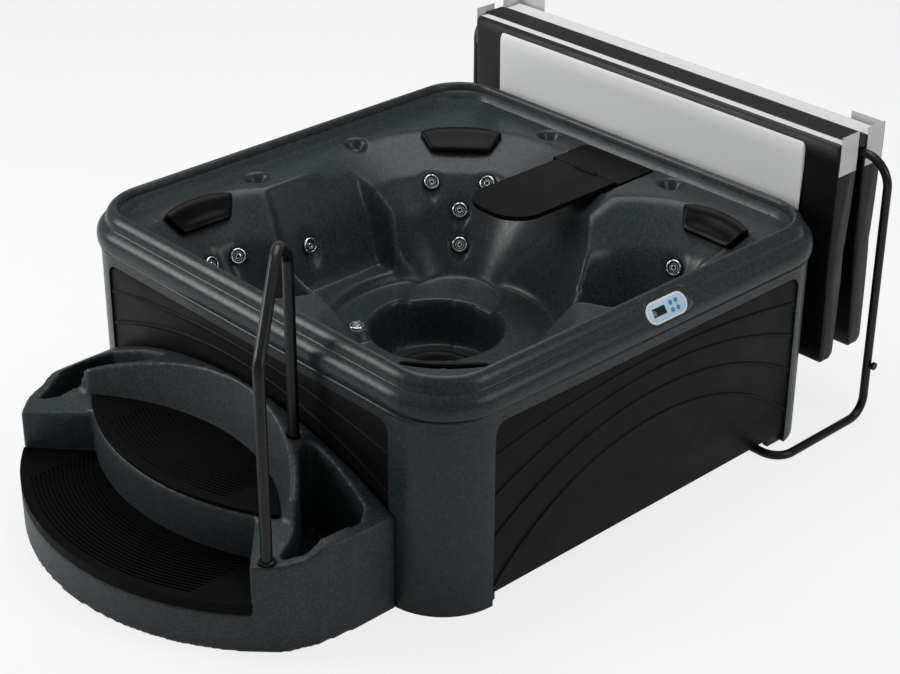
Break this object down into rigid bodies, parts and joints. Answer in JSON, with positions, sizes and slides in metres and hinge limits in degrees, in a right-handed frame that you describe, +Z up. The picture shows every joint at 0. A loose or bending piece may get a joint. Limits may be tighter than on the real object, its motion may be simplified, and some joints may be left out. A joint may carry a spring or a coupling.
{
  "type": "hot tub",
  "caption": "Square moulded hot tub with seats, jets, a tray over the filter, an arc-ribbed cabinet, a step with planters, a handrail and a folded cover on a tube lifter.",
  "frame": {"origin": "middle of the tub's base on the floor", "axes": "+X towards the control panel's side, -Y towards the step, +Y towards the folded cover, +Z up"},
  "size_m": [2.1606, 2.969, 1.2502],
  "materials": {
    "shell": "satin speckled dark grey-green moulding",
    "black_panel": "fine matt black",
    "mat_rubber": "ribbed black",
    "pillow_foam": "smooth skinned black foam",
    "jet_black": "moulded black",
    "chrome_trim": "bright chrome on plastic",
    "steel": "plain steel",
    "black_tube": "black powder coat",
    "bezel": "white moulding",
    "display": "dark window",
    "buttons": "light blue keys",
    "filter_paper": "white pleated cloth with plastic end caps",
    "impeller": "moulded natural",
    "pipe": "white pipe",
    "cover_black": "grained black vinyl over foam",
    "cover_grey": "light grey vinyl"
  },
  "bodies": {
    "tub": {"tub_shell": "shell", "cabinet_frame": "shell", "base_pan": "black_panel", "panel_front": "black_panel", "panel_access": "black_panel", "panel_left": "black_panel", "panel_back": "black_panel", "pillow_left": "pillow_foam", "pillow_back": "pillow_foam", "pillow_right": "pillow_foam", "pillow_front": "pillow_foam", "jet_bodies": "jet_black", "suction_cover": "jet_black", "footwell_disc": "jet_black", "filter_housing": "jet_black", "filter_cartridge": "filter_paper", "filter_lid": "jet_black", "tray_pin": "steel", "control_bezel": "bezel", "control_display": "display", "pump_motor": "black_tube", "pump_housing": "jet_black", "heater": "steel", "control_box": "black_panel", "water_pipes": "pipe", "drain_valve": "jet_black", "step_body": "shell", "step_mat_lower": "mat_rubber", "step_mat_upper": "mat_rubber", "handrail": "black_tube", "rail_sockets": "jet_black", "lifter_base": "black_tube", "lifter_knobs": "jet_black"},
    "jet_1": {"jet_face_1": "chrome_trim"},
    "jet_2": {"jet_face_2": "chrome_trim"},
    "jet_3": {"jet_face_3": "chrome_trim"},
    "jet_4": {"jet_face_4": "chrome_trim"},
    "jet_5": {"jet_face_5": "chrome_trim"},
    "jet_6": {"jet_face_6": "chrome_trim"},
    "jet_7": {"jet_face_7": "chrome_trim"},
    "jet_8": {"jet_face_8": "chrome_trim"},
    "jet_9": {"jet_face_9": "chrome_trim"},
    "jet_10": {"jet_face_10": "chrome_trim"},
    "tray": {"tray_flap": "jet_black"},
    "button_1": {"button_1": "buttons"},
    "button_2": {"button_2": "buttons"},
    "button_3": {"button_3": "buttons"},
    "button_4": {"button_4": "buttons"},
    "knob_1": {"air_knob_1": "shell"},
    "knob_2": {"air_knob_2": "shell"},
    "impeller": {"pump_impeller": "impeller"},
    "drain_cap": {"drain_cap": "jet_black"},
    "lifter_frame": {"lifter_upper": "black_tube"},
    "cover_half": {"cover_near": "cover_black", "cover_near_liner": "cover_grey", "cover_hinge": "cover_grey", "cover_near_flaps": "cover_black"},
    "cover_far_half": {"cover_far": "cover_black", "cover_far_liner": "cover_grey", "cover_far_flaps": "cover_black"}
  },
  "joints": [
    {"name": "jet_1_turn", "type": "hinge", "parent": "tub", "child": "jet_1", "pos_m": [-0.5371, 0.39366, 0.665], "axis": [0.7049, -0.4004, 0.5855], "range_deg": [0, 180]},
    {"name": "jet_2_turn", "type": "hinge", "parent": "tub", "child": "jet_2", "pos_m": [-0.38077, 0.5441, 0.665], "axis": [0.3731, -0.7197, 0.5855], "range_deg": [0, 180]},
    {"name": "jet_3_turn", "type": "hinge", "parent": "tub", "child": "jet_3", "pos_m": [-0.42103, 0.43667, 0.57], "axis": [0.5828, -0.625, 0.5194], "range_deg": [0, 180]},
    {"name": "jet_4_turn", "type": "hinge", "parent": "tub", "child": "jet_4", "pos_m": [-0.37018, 0.38845, 0.455], "axis": [0.5718, -0.635, 0.5194], "range_deg": [0, 180]},
    {"name": "jet_5_turn", "type": "hinge", "parent": "tub", "child": "jet_5", "pos_m": [-0.63306, -0.60975, 0.61], "axis": [0.9282, 0.0976, 0.359], "range_deg": [0, 180]},
    {"name": "jet_6_turn", "type": "hinge", "parent": "tub", "child": "jet_6", "pos_m": [-0.62218, -0.49679, 0.61], "axis": [0.8926, -0.2729, 0.359], "range_deg": [0, 180]},
    {"name": "jet_7_turn", "type": "hinge", "parent": "tub", "child": "jet_7", "pos_m": [-0.59648, -0.72231, 0.61], "axis": [0.8083, 0.4667, 0.359], "range_deg": [0, 180]},
    {"name": "jet_8_turn", "type": "hinge", "parent": "tub", "child": "jet_8", "pos_m": [0.52634, 0.60792, 0.61], "axis": [0.2416, -0.9015, 0.359], "range_deg": [0, 180]},
    {"name": "jet_9_turn", "type": "hinge", "parent": "tub", "child": "jet_9", "pos_m": [-0.592, -0.18, 0.56], "axis": [0.951, 0, 0.3091], "range_deg": [0, 180]},
    {"name": "jet_10_turn", "type": "hinge", "parent": "tub", "child": "jet_10", "pos_m": [-0.215, -0.278, 0.4], "axis": [0, 0, 1], "range_deg": [0, 180]},
    {"name": "tray_hinge", "type": "hinge", "parent": "tub", "child": "tray", "pos_m": [0, 0.687, 0.8015], "axis": [-1, 0, 0], "range_deg": [0, 110]},
    {"name": "button_1_press", "type": "slide", "parent": "tub", "child": "button_1", "axis": [-0.8177, 0, -0.5757], "range_m": [0, 0.001], "stiffness_N_per_m": 800},
    {"name": "button_2_press", "type": "slide", "parent": "tub", "child": "button_2", "axis": [-0.8177, 0, -0.5757], "range_m": [0, 0.001], "stiffness_N_per_m": 800},
    {"name": "button_3_press", "type": "slide", "parent": "tub", "child": "button_3", "axis": [-0.8177, 0, -0.5757], "range_m": [0, 0.001], "stiffness_N_per_m": 800},
    {"name": "button_4_press", "type": "slide", "parent": "tub", "child": "button_4", "axis": [-0.8177, 0, -0.5757], "range_m": [0, 0.001], "stiffness_N_per_m": 800},
    {"name": "air_knob_1_turn", "type": "hinge", "parent": "tub", "child": "knob_1", "pos_m": [0.864, 0.099, 0.8], "axis": [0, 0, 1], "range_deg": [0, 270]},
    {"name": "air_knob_2_turn", "type": "hinge", "parent": "tub", "child": "knob_2", "pos_m": [0.864, 0.297, 0.8], "axis": [0, 0, 1], "range_deg": [0, 270]},
    {"name": "impeller_spin", "type": "hinge", "parent": "tub", "child": "impeller", "pos_m": [0.76, 0.16, 0.174], "axis": [0, 1, 0], "continuous": true},
    {"name": "drain_cap_turn", "type": "hinge", "parent": "tub", "child": "drain_cap", "pos_m": [-0.96, -0.015, 0.085], "axis": [-1, 0, 0], "range_deg": [0, 360]},
    {"name": "lifter_height", "type": "slide", "parent": "tub", "child": "lifter_frame", "axis": [0, 0, 1], "range_m": [0, 0.075]},
    {"name": "cover_lift_off", "type": "slide", "parent": "lifter_frame", "child": "cover_half", "axis": [0, 0, 1], "range_m": [0, 0.95]},
    {"name": "cover_fold", "type": "hinge", "parent": "cover_half", "child": "cover_far_half", "pos_m": [0, 1.147, 1.103], "axis": [1, 0, 0], "range_deg": [0, 110]}
  ]
}
